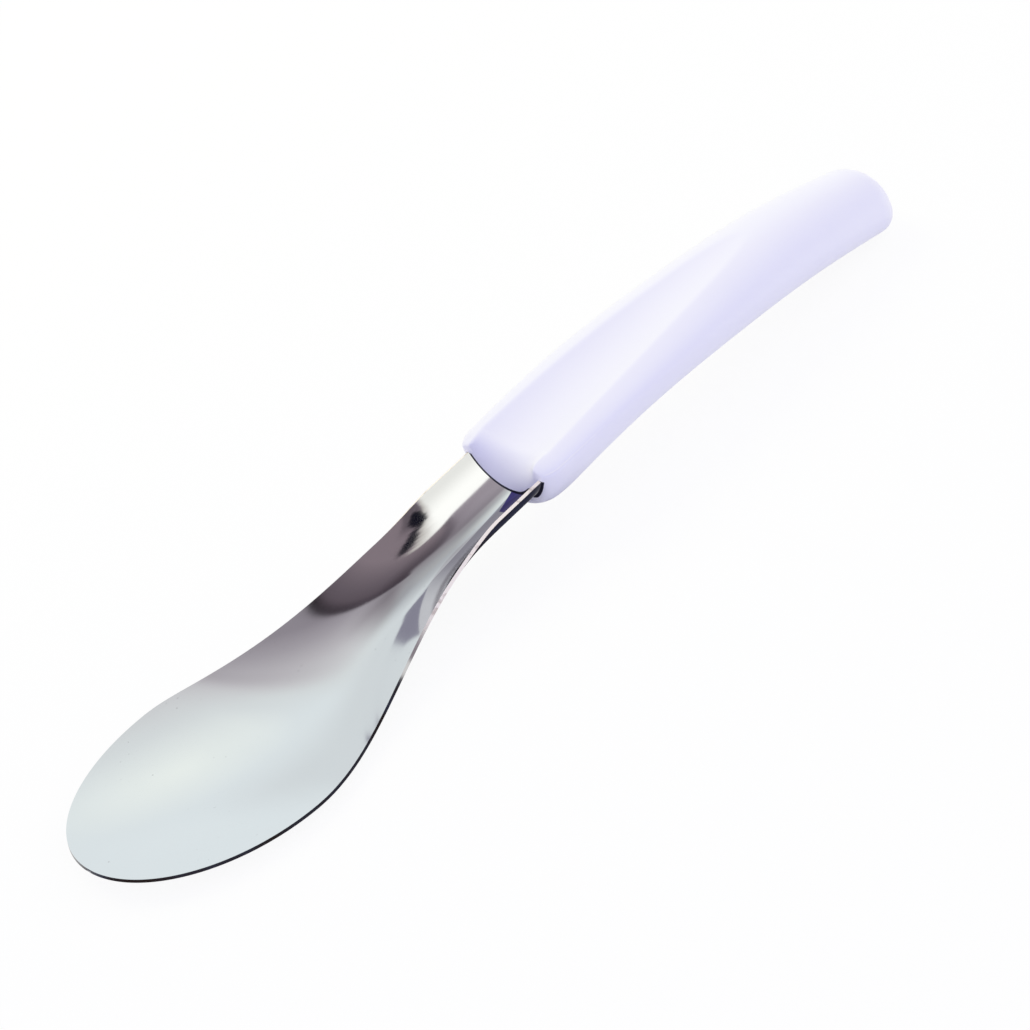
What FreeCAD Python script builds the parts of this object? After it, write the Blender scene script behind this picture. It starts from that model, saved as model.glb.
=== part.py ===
import FreeCAD, Part
import math
import os
import Sketcher

Vector = FreeCAD.Vector
Constraint = Sketcher.Constraint

# Driving dimensions in millimetres and degrees, for a spatula lying on a table with its tip at x = 0
DIMENSIONS = [
    ("sheet_thickness", 0.8),
    ("nose_length", 40.6),
    ("blade_half_width", 29.5),
    ("neck_half_width", 11.5),
    ("shoulder_end", 118.5),
    ("shoulder_front_pull", 16.2),
    ("shoulder_back_pull", 35.4),
    ("neck_end", 131.9),
    ("belly_place", 47.0),
    ("tip_rise", 4.6),
    ("dish_radius", 175.0),
    ("neck_wall_angle", 67.0),
    ("fan_start", 46.0),
    ("bend_start", 50.0),
    ("bend_end", 101.0),
    ("bend_lift", 3.1),
    ("neck_slope", 0.0625),
    ("tang_half_width", 8.0),
    ("tang_length", 78.0),
    ("tang_entry", 2.5),
    ("tang_shoulder_length", 8.0),
    ("tang_hole_radius", 2.5),
    ("tang_hole_first", 26.0),
    ("tang_hole_spacing", 26.0),
    ("handle_length", 128.7),
    ("butt_dome_length", 7.5),
    ("mouth_rounding", 4.5),
    ("mouth_side_inset", 2.6),
    ("mouth_top_inset", 1.0),
    ("chin_length", 10.5),
    ("chin_inset", 4.0),
    ("brow_length", 5.2),
    ("brow_half_width", 10.5),
    ("brow_rim_height", 21.8),
    ("mouth_lap", 0.3),
    ("mouth_half_width", 15.2),
    ("front_half_width", 15.7),
    ("middle_half_width", 14.8),
    ("rear_half_width", 12.8),
    ("butt_half_width", 9.9),
    ("mouth_top", 21.0),
    ("front_top", 23.5),
    ("middle_top", 24.6),
    ("rear_top", 23.0),
    ("butt_top", 16.3),
    ("mouth_level", 17.4),
    ("front_level", 19.5),
    ("middle_level", 17.8),
    ("rear_level", 13.6),
    ("butt_level", 5.9),
    ("mouth_underside", 3.7),
    ("front_underside", 7.8),
    ("middle_underside", 7.5),
    ("rear_underside", 4.5),
    ("butt_underside", -1.7),
    ("hollow_radius", 25.3),
    ("hollow_arch_radius", 858.0),
    ("hollow_crest_place", 109.2),
    ("hollow_crest_height", 24.4),
]

# Fineness of the modelling, not a size of the object
PRESS_SECTIONS = 16
BLANK_MARGIN = 6.0
GRIP_SECTIONS = 9
POINTS_ROUND_GRIP = 28
MOUTH_SHARES = (0.0, 0.04, 0.16, 0.33, 0.66)
BROW_SHARES = (0.0, 0.04, 0.16, 0.36, 0.64, 1.0)
BROW_CLEARANCE = 0.02
DOME_ANGLES = (28.0, 52.0, 72.0)
QUARTER_CURVE = 0.5523

doc = FreeCAD.newDocument("ice_cream_spatula")
sizes = doc.addObject("Spreadsheet::Sheet", "Sizes")
for row, (alias, number) in enumerate(DIMENSIONS, start=1):
    sizes.set(f"A{row}", alias)
    sizes.set(f"B{row}", str(number))
    sizes.setAlias(f"B{row}", alias)
doc.recompute()


def size(alias):
    """The present value of one driving dimension."""
    return float(sizes.get(alias))


def bind(sketch, constraint, name, formula):
    """Add a constraint to a sketch and tie it to a formula of the sheet's sizes."""
    index = sketch.addConstraint(constraint)
    sketch.renameConstraint(index, name)
    sketch.setExpression(f"Constraints.{name}", formula)


def add(kind, name, **properties):
    """Add one object to the document and set its plain properties."""
    item = doc.addObject(kind, name)
    for key, setting in properties.items():
        setattr(item, key, setting)
    return item


def share(place, start, end):
    """Formula for how far a place is from start to end, eased in and out between 0 and 1."""
    step = f"max(0; min(1; (({place}) - {start}) / ({end} - {start})))"
    return f"(3 * ({step}) ^ 2 - 2 * ({step}) ^ 3)"


# The pressed surface: a row of arcs across the sheet, wide and shallow in the dish, deep in the neck
TANG_END = "(Sizes.neck_end + Sizes.tang_length)"
NECK_RADIUS = "(Sizes.neck_half_width / sin(Sizes.neck_wall_angle))"
BLANK_HALF = "(1.15 * Sizes.blade_half_width)"


def press_section(index):
    """One arc across the sheet's upper face, at its own place between the tip and the tang's end."""
    part_way = index / (PRESS_SECTIONS - 1)
    place = f"(({TANG_END} + 2 * {BLANK_MARGIN}) * {part_way} - {BLANK_MARGIN})"
    opening = share(place, "Sizes.fan_start", "Sizes.shoulder_end")
    radius = f"(Sizes.dish_radius * ({NECK_RADIUS} / Sizes.dish_radius) ^ {opening})"
    half = f"min({BLANK_HALF}; 0.985 * {radius})"
    nose = f"Sizes.tip_rise * max(0; 1 - {place} / Sizes.belly_place) ^ 2"
    rise = share(place, "Sizes.bend_start", "Sizes.bend_end")
    climb = f"(Sizes.bend_lift + Sizes.neck_slope * ({place} - Sizes.bend_start)) * {rise}"
    keel = f"(Sizes.sheet_thickness + {nose} + {climb})"

    sketch = add("Sketcher::SketchObject", f"press_section_{index:02d}")
    upright = FreeCAD.Rotation(Vector(0, 1, 0), Vector(0, 0, 1), Vector(1, 0, 0), "XYZ")
    sketch.Placement = FreeCAD.Placement(Vector(0, 0, 0), upright)
    sketch.setExpression(".Placement.Base.x", place)
    start_radius = size("dish_radius")
    circle = Part.Circle(Vector(0, start_radius, 0), Vector(0, 0, 1), start_radius)
    lowest = -math.pi / 2
    sketch.addGeometry(Part.ArcOfCircle(circle, lowest - 0.1, lowest + 0.1), False)
    sketch.addConstraint(Constraint("PointOnObject", 0, 3, -2))
    bind(sketch, Constraint("Radius", 0, start_radius), "radius", radius)
    bind(sketch, Constraint("DistanceY", -1, 1, 0, 3, start_radius), "centre_height", f"{keel} + {radius}")
    bind(sketch, Constraint("DistanceX", -1, 1, 0, 2, 17.0), "left_half", half)
    bind(sketch, Constraint("DistanceX", 0, 1, -1, 1, 17.0), "right_half", half)
    return sketch


press_sections = [press_section(index) for index in range(PRESS_SECTIONS)]
pressed_surface = add("Part::Loft", "pressed_surface", Sections=press_sections, Solid=False)


# The blank's outline, seen from above: round nose, ogee shoulders, straight neck and a narrower tang
def curve_edge(poles):
    """One smooth edge with the given poles, in the plane seen from above."""
    curve = Part.BezierCurve()
    curve.setPoles([Vector(along, across, 0) for along, across in poles])
    return curve.toShape()


def line_edge(start, end):
    """One straight edge between two places, in the plane seen from above."""
    return Part.makeLine(Vector(*start, 0), Vector(*end, 0))


def blank_outline():
    """The closed outline of the flat sheet that the blade, neck and tang are pressed from."""
    nose = size("nose_length")
    wide = size("blade_half_width")
    neck = size("neck_half_width")
    narrow = size("tang_half_width")
    shoulder = size("shoulder_end")
    entry = size("neck_end") + size("tang_entry")
    taper_end = entry + size("tang_shoulder_length")
    tang_end = size("neck_end") + size("tang_length")
    front_pull = nose + size("shoulder_front_pull")
    back_pull = shoulder - size("shoulder_back_pull")
    round_start = tang_end - narrow
    forward = nose * (1 - QUARTER_CURVE)
    side = [
        curve_edge([(0, 0), (0, wide * QUARTER_CURVE), (forward, wide), (nose, wide)]),
        curve_edge([(nose, wide), (front_pull, wide), (back_pull, neck), (shoulder, neck)]),
        line_edge((shoulder, neck), (entry, neck)),
        line_edge((entry, neck), (taper_end, narrow)),
        line_edge((taper_end, narrow), (round_start, narrow)),
    ]
    ends = [Vector(round_start, narrow, 0), Vector(tang_end, 0, 0), Vector(round_start, -narrow, 0)]
    other_side = [edge.mirror(Vector(0, 0, 0), Vector(0, 1, 0)) for edge in side]
    edges = side + [Part.Arc(*ends).toShape()] + other_side
    return Part.Wire(Part.__sortEdges__(edges))


outline = add("Part::Feature", "blank_outline", Shape=Part.Face(blank_outline()))
outline_prism = add("Part::Extrusion", "outline_prism", Base=outline, Dir=Vector(0, 0, 1), DirMode="Custom")
outline_prism.Solid = True
outline_prism.setExpression("LengthFwd", "2 * Sizes.blade_half_width")
outline_prism.Placement.Base.z = -BLANK_MARGIN
trimmed_surface = add("Part::Common", "trimmed_surface", Base=pressed_surface, Tool=outline_prism)
pressed_sheet = add("Part::Offset", "pressed_sheet", Source=trimmed_surface, Fill=True)
pressed_sheet.setExpression("Value", "Sizes.sheet_thickness")

# Two holes through the tang, where the handle's plastic flows through and keys the sheet in place
tang_holes = []
for number in range(2):
    hole = add("Part::Cylinder", f"tang_hole_{number + 1}")
    hole.setExpression("Radius", "Sizes.tang_hole_radius")
    hole.setExpression("Height", "2 * Sizes.blade_half_width")
    spot = f"Sizes.neck_end + Sizes.tang_hole_first + {number} * Sizes.tang_hole_spacing"
    hole.setExpression(".Placement.Base.x", spot)
    tang_holes.append(hole)
both_holes = add("Part::MultiFuse", "tang_holes", Shapes=tang_holes)
blade = add("Part::Cut", "blade_sheet", Base=pressed_sheet, Tool=both_holes)
blade.Label = "blade"


# The grip: closed sections along the handle, widest at the mould's parting level
def guide(ending):
    """A smooth curve through the five sizes of one kind, evenly spaced from the mouth to the butt."""
    length = size("handle_length")
    stations = ("mouth", "front", "middle", "rear", "butt")
    places = [length * number / (len(stations) - 1) for number in range(len(stations))]
    points = [Vector(place, size(f"{station}_{ending}"), 0) for place, station in zip(places, stations)]
    curve = Part.BSplineCurve()
    curve.interpolate(Points=points, Parameters=places)
    return curve


width_guide = guide("half_width")
top_guide = guide("top")
level_guide = guide("level")
underside_guide = guide("underside")


def grip_middle(place):
    """The height half way between the grip's top and its underside."""
    return (top_guide.value(place).y + underside_guide.value(place).y) / 2


def rounding_inset(place, length, inset):
    """How far a face is drawn in at a place by the round that runs from the mouth over a length."""
    left = max(0.0, 1 - place / length)
    return inset * (1 - math.sqrt(1 - left ** 2))


def grip_section(place, shrink=1.0):
    """One closed section: half an oval above the parting level and a deeper half below it."""
    rounding = size("mouth_rounding")
    level = level_guide.value(place).y
    middle = grip_middle(place)
    half_width = width_guide.value(place).y - rounding_inset(place, rounding, size("mouth_side_inset"))
    top = top_guide.value(place).y - rounding_inset(place, rounding, size("mouth_top_inset"))
    chin = rounding_inset(place, size("chin_length"), size("chin_inset"))
    underside = underside_guide.value(place).y + chin
    points = []
    for number in range(POINTS_ROUND_GRIP):
        angle = 2 * math.pi * number / POINTS_ROUND_GRIP
        limit = top if math.sin(angle) > 0 else underside
        across = half_width * math.cos(angle)
        height = level + abs(math.sin(angle)) * (limit - level)
        points.append(Vector(size("neck_end") + place, across * shrink, middle + (height - middle) * shrink))
    curve = Part.BSplineCurve()
    curve.interpolate(Points=points, PeriodicFlag=True)
    return Part.Wire(curve.toShape())


def grip_solid():
    """The whole grip before the thumb hollow: a rounded mouth, an arched body and a domed butt."""
    chin = size("chin_length")
    dome = size("butt_dome_length")
    dome_start = size("handle_length") - dome
    sections = [grip_section(chin * part_way) for part_way in MOUTH_SHARES]
    for number in range(GRIP_SECTIONS):
        part_way = number / (GRIP_SECTIONS - 1)
        sections.append(grip_section(chin + (dome_start - chin) * part_way))
    for degrees in DOME_ANGLES:
        angle = math.radians(degrees)
        sections.append(grip_section(dome_start + dome * math.sin(angle), math.cos(angle)))
    end = size("handle_length")
    butt = Part.Vertex(Vector(size("neck_end") + end, 0, grip_middle(end)))
    return Part.makeLoft(sections + [butt], True, False)


grip = add("Part::Feature", "grip", Shape=grip_solid())

# The thumb hollow: a round channel whose floor follows the handle's arch and runs out at its crest
CREST = "Sizes.neck_end + Sizes.hollow_crest_place"
hollow_path = add("Part::Circle", "hollow_path", Angle1=0)
hollow_path.Placement.Rotation = FreeCAD.Rotation(Vector(0, 0, 1), Vector(-1, 0, 0), Vector(0, -1, 0), "XYZ")
hollow_path.setExpression("Radius", "Sizes.hollow_arch_radius + Sizes.hollow_radius")
hollow_path.setExpression("Angle2", "1.2 * Sizes.hollow_crest_place / Sizes.hollow_arch_radius * 180 / pi")
hollow_path.setExpression(".Placement.Base.x", CREST)
hollow_path.setExpression(".Placement.Base.z", "Sizes.hollow_crest_height - Sizes.hollow_arch_radius")
hollow_round = add("Part::Circle", "hollow_round")
hollow_round.Placement.Rotation = FreeCAD.Rotation(Vector(0, 0, 1), Vector(0, 1, 0), Vector(-1, 0, 0), "XYZ")
hollow_round.setExpression("Radius", "Sizes.hollow_radius")
hollow_round.setExpression(".Placement.Base.x", CREST)
hollow_round.setExpression(".Placement.Base.z", "Sizes.hollow_crest_height + Sizes.hollow_radius")
hollow = add("Part::Sweep", "thumb_hollow", Sections=[hollow_round], Spine=(hollow_path, ["Edge1"]))
hollow.Solid = True
hollowed_grip = add("Part::Cut", "hollowed_grip", Base=grip, Tool=hollow)

# The brow: behind the mouth the hollow's floor rolls over and down to the steel, between the two rims
NECK_CLIMB = "Sizes.neck_slope * (Sizes.neck_end - Sizes.bend_start)"
MOUTH_FLOOR = f"(Sizes.sheet_thickness + Sizes.bend_lift + {NECK_CLIMB} + Sizes.mouth_lap)"


def hollow_floor(place):
    """Formula for the height of the hollow's floor at a place behind the mouth."""
    arch = "Sizes.hollow_arch_radius"
    drop = f"({arch} - sqrt({arch} ^ 2 - (Sizes.hollow_crest_place - {place}) ^ 2))"
    return f"(Sizes.hollow_crest_height - {drop} + {BROW_CLEARANCE})"


def brow_ring(number, part_way):
    """One ring of the brow, from the steep narrow arc at the mouth to the hollow's own wide arc."""
    roll = 1 - math.sqrt(1 - (1 - part_way) ** 2)
    place = f"(Sizes.brow_length * {part_way})"
    floor = f"({hollow_floor(place)} + ({MOUTH_FLOOR} - {hollow_floor(place)}) * {roll})"
    last_depth = f"(Sizes.brow_rim_height - {hollow_floor('Sizes.brow_length')})"
    last_half = f"sqrt(2 * Sizes.hollow_radius * {last_depth} - {last_depth} ^ 2)"
    half = f"(Sizes.brow_half_width + ({last_half} - Sizes.brow_half_width) * {part_way})"
    depth = f"(Sizes.brow_rim_height - {floor})"
    ring = add("Part::Circle", f"brow_ring_{number}")
    ring.Placement.Rotation = FreeCAD.Rotation(Vector(0, 0, 1), Vector(0, 1, 0), Vector(-1, 0, 0), "XYZ")
    ring.setExpression("Radius", f"({depth} ^ 2 + {half} ^ 2) / (2 * {depth})")
    ring.setExpression(".Placement.Base.x", f"Sizes.neck_end + {place}")
    ring.setExpression(".Placement.Base.z", f"{floor} + ({depth} ^ 2 + {half} ^ 2) / (2 * {depth})")
    return ring


brow_rings = [brow_ring(number, part_way) for number, part_way in enumerate(BROW_SHARES, start=1)]
brow = add("Part::Loft", "brow", Sections=brow_rings, Solid=True)
opened_grip = add("Part::Cut", "opened_grip", Base=hollowed_grip, Tool=brow)

# The plastic closes round the neck and tang, and fills the tang's holes
socket = add("Part::Cut", "socket", Base=pressed_sheet, Tool=both_holes)
handle = add("Part::Cut", "handle_grip", Base=opened_grip, Tool=socket)
handle.Label = "handle"

# Both pieces share one frame: the middle of the overall length, with the table at height zero
for piece in (blade, handle):
    piece.setExpression(".Placement.Base.x", "-(Sizes.neck_end + Sizes.handle_length) / 2")
doc.recompute()

for item in doc.Objects:
    if "Invalid" in item.State or "Error" in item.State:
        raise RuntimeError(f"{item.Label} could not be computed: {item.State}")
os.makedirs("parts", exist_ok=True)
for piece in (blade, handle):
    if piece.Shape.isNull() or not piece.Shape.isValid():
        raise RuntimeError(f"{piece.Label} has no sound shape")
    if len(piece.Shape.Solids) != 1:
        raise RuntimeError(f"{piece.Label} is not one solid")
    piece.Shape.exportStep(f"parts/{piece.Label}.step")
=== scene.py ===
"""The looks of an ice cream spatula: polished pressed steel in a white moulded handle."""

import logging
import math
from dataclasses import dataclass, field
from enum import Enum
from typing import Callable, Union

import bpy
from mathutils import Matrix, Vector

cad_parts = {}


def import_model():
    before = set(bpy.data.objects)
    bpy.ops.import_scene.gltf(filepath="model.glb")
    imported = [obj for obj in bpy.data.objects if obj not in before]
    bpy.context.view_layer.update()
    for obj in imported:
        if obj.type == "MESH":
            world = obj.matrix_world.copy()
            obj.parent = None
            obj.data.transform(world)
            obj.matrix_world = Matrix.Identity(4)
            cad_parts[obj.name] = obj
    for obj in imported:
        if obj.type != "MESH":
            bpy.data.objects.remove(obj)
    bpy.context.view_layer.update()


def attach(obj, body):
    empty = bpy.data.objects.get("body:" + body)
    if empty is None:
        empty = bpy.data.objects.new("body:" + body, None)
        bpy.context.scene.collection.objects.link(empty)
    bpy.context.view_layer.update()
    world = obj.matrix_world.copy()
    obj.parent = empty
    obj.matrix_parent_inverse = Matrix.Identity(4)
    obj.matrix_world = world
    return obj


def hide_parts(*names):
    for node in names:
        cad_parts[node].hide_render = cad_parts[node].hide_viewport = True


LOG = logging.getLogger("spatula")
MM = 0.001
Triple = tuple[float, float, float]
Colour = Triple
Edge = tuple[float, float]
Stops = tuple[tuple[float, Colour], ...]
Number = Union[int, float, "Value"]
WHITE = (1.0, 1.0, 1.0)


class Slot(Enum):
    """The record's material slots."""

    STEEL = "steel"
    PLASTIC = "handle_plastic"


class Guide(Enum):
    """The sizes of the grip that change along its length."""

    HALF_WIDTH = "half_width"
    TOP = "top"
    LEVEL = "level"
    UNDERSIDE = "underside"


def eased(place: float, start: float, end: float) -> float:
    """Share of the way from start to end, eased in and out between 0 and 1."""
    share = max(0.0, min(1.0, (place - start) / (end - start)))
    return share * share * (3 - 2 * share)


class Value:
    """A number in a shader: arithmetic on it adds the maths nodes that work it out."""

    def __init__(self, tree: "NodeTree", socket: bpy.types.NodeSocket) -> None:
        """Wrap an output socket of a node tree."""
        self.tree = tree
        self.socket = socket

    def maths(self, operation: str, *others: Number) -> "Value":
        """Add one maths node on this value and up to two others.

        Args:
            operation: The node's operation.
            others: Its second and third operands.

        Returns:
            The node's result.
        """
        inputs = {index: other for index, other in enumerate((self, *others))}
        node = self.tree.add("ShaderNodeMath", {"operation": operation}, inputs)
        return Value(self.tree, node.outputs[0])

    def constant(self, number: float) -> "Value":
        """A plain number as a value of the same tree."""
        return self.tree.number(number)

    def __add__(self, other: Number) -> "Value":
        """Sum."""
        return self.maths("ADD", other)

    __radd__ = __add__

    def __sub__(self, other: Number) -> "Value":
        """Difference."""
        return self.maths("SUBTRACT", other)

    def __rsub__(self, other: float) -> "Value":
        """Difference with the number first."""
        return self.constant(other).maths("SUBTRACT", self)

    def __mul__(self, other: Number) -> "Value":
        """Product."""
        return self.maths("MULTIPLY", other)

    __rmul__ = __mul__

    def __truediv__(self, other: Number) -> "Value":
        """Quotient."""
        return self.maths("DIVIDE", other)

    def __pow__(self, other: Number) -> "Value":
        """Power."""
        return self.maths("POWER", other)

    def __neg__(self) -> "Value":
        """Opposite."""
        return self.maths("MULTIPLY", -1.0)

    def __abs__(self) -> "Value":
        """Size without its sign."""
        return self.maths("ABSOLUTE")

    def clamp(self) -> "Value":
        """The value kept between 0 and 1."""
        return self.maths("MAXIMUM", 0.0).maths("MINIMUM", 1.0)

    def above(self, edge: Number, soft: float) -> "Value":
        """A mask that rises from 0 to 1 over a soft width about an edge."""
        share = ((self - edge) / soft + 0.5).clamp()
        return share * share * (3.0 - 2.0 * share)

    def below(self, edge: Number, soft: float) -> "Value":
        """A mask that falls from 1 to 0 over a soft width about an edge."""
        return 1.0 - self.above(edge, soft)

    def at_least(self, other: Number) -> "Value":
        """The larger of two values."""
        return self.maths("MAXIMUM", other)

    def at_most(self, other: Number) -> "Value":
        """The smaller of two values."""
        return self.maths("MINIMUM", other)


class NodeTree:
    """A shader's node tree, with one method that adds any node."""

    def __init__(self, owner: Union[bpy.types.Material, bpy.types.World]) -> None:
        """Empty the tree of a material or a world."""
        owner.use_nodes = True
        self.tree = owner.node_tree
        self.tree.nodes.clear()

    def add(self, kind: str, settings: dict, inputs: dict) -> bpy.types.Node:
        """Add one node.

        Args:
            kind: The node's type.
            settings: Its properties, set before its sockets.
            inputs: Numbers, colours, values or output sockets, by socket name or index.

        Returns:
            The new node.
        """
        node = self.tree.nodes.new(kind)
        for name, setting in settings.items():
            setattr(node, name, setting)
        for name, entry in inputs.items():
            if isinstance(entry, Value):
                self.tree.links.new(entry.socket, node.inputs[name])
            elif isinstance(entry, bpy.types.NodeSocket):
                self.tree.links.new(entry, node.inputs[name])
            elif isinstance(entry, tuple) and node.inputs[name].type == "RGBA":
                node.inputs[name].default_value = (*entry, 1.0)
            else:
                node.inputs[name].default_value = entry
        return node

    def number(self, number: float) -> Value:
        """A plain number as a value.

        Args:
            number: The number.

        Returns:
            Its value in this tree.
        """
        node = self.add("ShaderNodeValue", {}, {})
        node.outputs[0].default_value = number
        return Value(self, node.outputs[0])

    def xyz(self, vector: bpy.types.NodeSocket) -> tuple[Value, Value, Value]:
        """The three parts of a vector."""
        node = self.add("ShaderNodeSeparateXYZ", {}, {0: vector})
        return tuple(Value(self, output) for output in node.outputs)

    def place(self) -> bpy.types.NodeSocket:
        """The place on the piece, in metres."""
        return self.add("ShaderNodeTexCoord", {}, {}).outputs["Object"]

    def noise(self, vector: bpy.types.NodeSocket, scale: float, detail: float = 2.0) -> Value:
        """Soft noise between 0 and 1.

        Args:
            vector: The place that it is read at.
            scale: How many grains it has to the metre.
            detail: How many finer layers it has.

        Returns:
            The noise.
        """
        inputs = {"Vector": vector, "Scale": scale, "Detail": detail}
        node = self.add("ShaderNodeTexNoise", {}, inputs)
        return Value(self, node.outputs[0])

    def stretched(self, vector: bpy.types.NodeSocket, scale: Triple) -> bpy.types.NodeSocket:
        """A vector scaled along each axis."""
        return self.add("ShaderNodeMapping", {}, {"Vector": vector, "Scale": scale}).outputs[0]

    def mix(self, share: Value, first: object, second: object) -> bpy.types.NodeSocket:
        """The colour between two colours.

        Args:
            share: How much of the second colour.
            first: A colour or a colour socket.
            second: A colour or a colour socket.

        Returns:
            The mixed colour's socket.
        """
        inputs = {"Factor": share, 6: first, 7: second}
        return self.add("ShaderNodeMix", {"data_type": "RGBA"}, inputs).outputs[2]

    def ramp(self, share: Value, stops: Stops) -> bpy.types.NodeSocket:
        """A colour read from stops.

        Args:
            share: Where to read, from 0 to 1.
            stops: The places and colours of the stops.

        Returns:
            The colour's socket.
        """
        node = self.add("ShaderNodeValToRGB", {}, {"Fac": share})
        elements = node.color_ramp.elements
        for index, (position, colour) in enumerate(stops):
            stop = elements[index] if index < 2 else elements.new(position)
            stop.position = position
            stop.color = (*colour, 1.0)
        return node.outputs[0]

    def bump(self, height: Value, depth: float, strength: float = 1.0) -> bpy.types.NodeSocket:
        """A normal bent by a height from 0 to 1 that stands for a depth in metres."""
        inputs = {"Height": height, "Distance": depth, "Strength": strength}
        return self.add("ShaderNodeBump", {}, inputs).outputs[0]

    def surface(self, constants: dict, varying: dict) -> None:
        """Finish the tree with a surface of plain constants and varying sockets."""
        shader = self.add("ShaderNodeBsdfPrincipled", {}, {**constants, **varying})
        self.add("ShaderNodeOutputMaterial", {}, {"Surface": shader.outputs[0]})


@dataclass(frozen=True)
class PaintedChannelShade:
    """Painted shade and a painted reflection in the steel's colour along its channel, where the
    moulding keeps the light off it.

    They are painted shade on the floor of the channel, a painted darker stripe along the foot of
    the near wall and a painted reflection of the dark gap at the mouth. An edge is a distance
    across and the width that it fades over.
    """

    # Painted shade on the floor of the channel.
    floor_tint: Colour = (0.44, 0.42, 0.44)
    floor_length: float = 46.0 * MM
    floor_fade: float = 16.0 * MM
    far_edge: Edge = (2.6 * MM, 4.0 * MM)
    far_spread: float = 0.06
    near_edge: Edge = (-2.0 * MM, 5.0 * MM)
    near_turn: float = 20.0 * MM
    near_rise: float = 0.17
    # Painted darker stripe along the foot of the near wall: painted shade.
    painted_band_shade_tint: Colour = (0.38, 0.365, 0.41)
    band_length: float = 30.0 * MM
    band_fade: float = 16.0 * MM
    band_edge: Edge = (-0.9 * MM, 0.4 * MM)
    band_place: float = 7.0 * MM
    band_rise: float = 0.113
    # Painted reflection of the dark gap at the mouth.
    painted_mouth_reflection_tint: Colour = (0.05, 0.036, 0.17)
    mouth_reach: float = 6.3 * MM
    mouth_fade: float = 0.3 * MM
    slant_start: float = 0.3 * MM
    slant_width: float = 2.2 * MM
    mouth_near_edge: Edge = (-7.0 * MM, 3.0 * MM)
    mouth_far_edge: Edge = (0.6 * MM, 0.6 * MM)

    def shaded(
        self,
        nodes: NodeTree,
        colour: bpy.types.NodeSocket,
        place: bpy.types.NodeSocket,
        mouth: float,
    ) -> bpy.types.NodeSocket:
        """Lay the painted shade, the painted stripe and the painted reflection over the steel's
        colour.

        Args:
            nodes: The steel's tree.
            colour: The steel's colour so far.
            place: The place on the sheet.
            mouth: Where the handle's mouth stands along the sheet.

        Returns:
            The colour with its painted shade and painted reflection.
        """
        along, across, _ = nodes.xyz(place)
        # Painted shade on the floor of the channel, fading in towards the mouth.
        edge, fade = self.far_edge
        floor = across.below((mouth - along) * self.far_spread + edge, fade)
        edge, fade = self.near_edge
        turned = (along - (mouth - self.near_turn)).at_least(0.0)
        floor *= across.above(turned * self.near_rise + edge, fade)
        floor *= along.above(mouth - self.floor_length, self.floor_fade)
        colour = nodes.mix(floor, colour, self.floor_tint)

        # Painted shade: a darker stripe along the foot of the near wall.
        edge, fade = self.band_edge
        past = along - (mouth - self.band_place)
        band = across.below(past * self.band_rise + edge, fade)
        band *= along.above(mouth - self.band_length, self.band_fade)
        colour = nodes.mix(band, colour, self.painted_band_shade_tint)

        # Painted reflection of the dark gap, on the near side of the channel next to the mouth.
        slant = ((self.slant_start - across) / self.slant_width).clamp()
        dark = along.above(slant * -self.mouth_reach + mouth, self.mouth_fade)
        dark *= across.above(*self.mouth_near_edge) * across.below(*self.mouth_far_edge)
        return nodes.mix(dark, colour, self.painted_mouth_reflection_tint)


@dataclass(frozen=True)
class PolishedSteel:
    """Stainless sheet with a soft mirror polish, faint polishing lines and painted shade in its
    channel.
    """

    name: str = "polished_steel"
    tint: Colour = (0.90, 0.905, 0.905)
    cloud_tint: Colour = (0.86, 0.865, 0.87)
    cloud_grain: float = 70.0
    cloud_share: float = 0.6
    speck_tint: Colour = (0.45, 0.44, 0.44)
    speck_grain: float = 900.0
    speck_edge: Edge = (0.78, 0.05)
    speck_share: float = 0.25
    roughness: float = 0.055
    line_roughness: float = 0.02
    cloud_roughness: float = 0.02
    speck_roughness: float = 0.1
    line_scale: Triple = (60.0, 2200.0, 2200.0)
    line_detail: float = 3.0
    line_depth: float = 0.0006 * MM
    channel: PaintedChannelShade = PaintedChannelShade()

    def material(self, mouth: float) -> bpy.types.Material:
        """Build the steel.

        Args:
            mouth: Where the handle's mouth stands along the sheet.

        Returns:
            The finished material.
        """
        steel = bpy.data.materials.new(self.name)
        nodes = NodeTree(steel)
        place = nodes.place()
        lines = nodes.noise(nodes.stretched(place, self.line_scale), 1.0, self.line_detail)
        clouds = nodes.noise(place, self.cloud_grain)
        specks = nodes.noise(place, self.speck_grain, 1.0).above(*self.speck_edge)
        colour = nodes.mix(clouds * self.cloud_share, self.tint, self.cloud_tint)
        # Painted shade and a painted reflection in the channel.
        colour = self.channel.shaded(nodes, colour, place, mouth)
        colour = nodes.mix(specks * self.speck_share, colour, self.speck_tint)
        roughness = self.roughness + lines * self.line_roughness
        roughness += clouds * self.cloud_roughness + specks * self.speck_roughness
        nodes.surface(
            {"Metallic": 1.0},
            {
                "Base Color": colour,
                "Roughness": roughness,
                "Normal": nodes.bump(lines, self.line_depth),
            },
        )
        return steel


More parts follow.
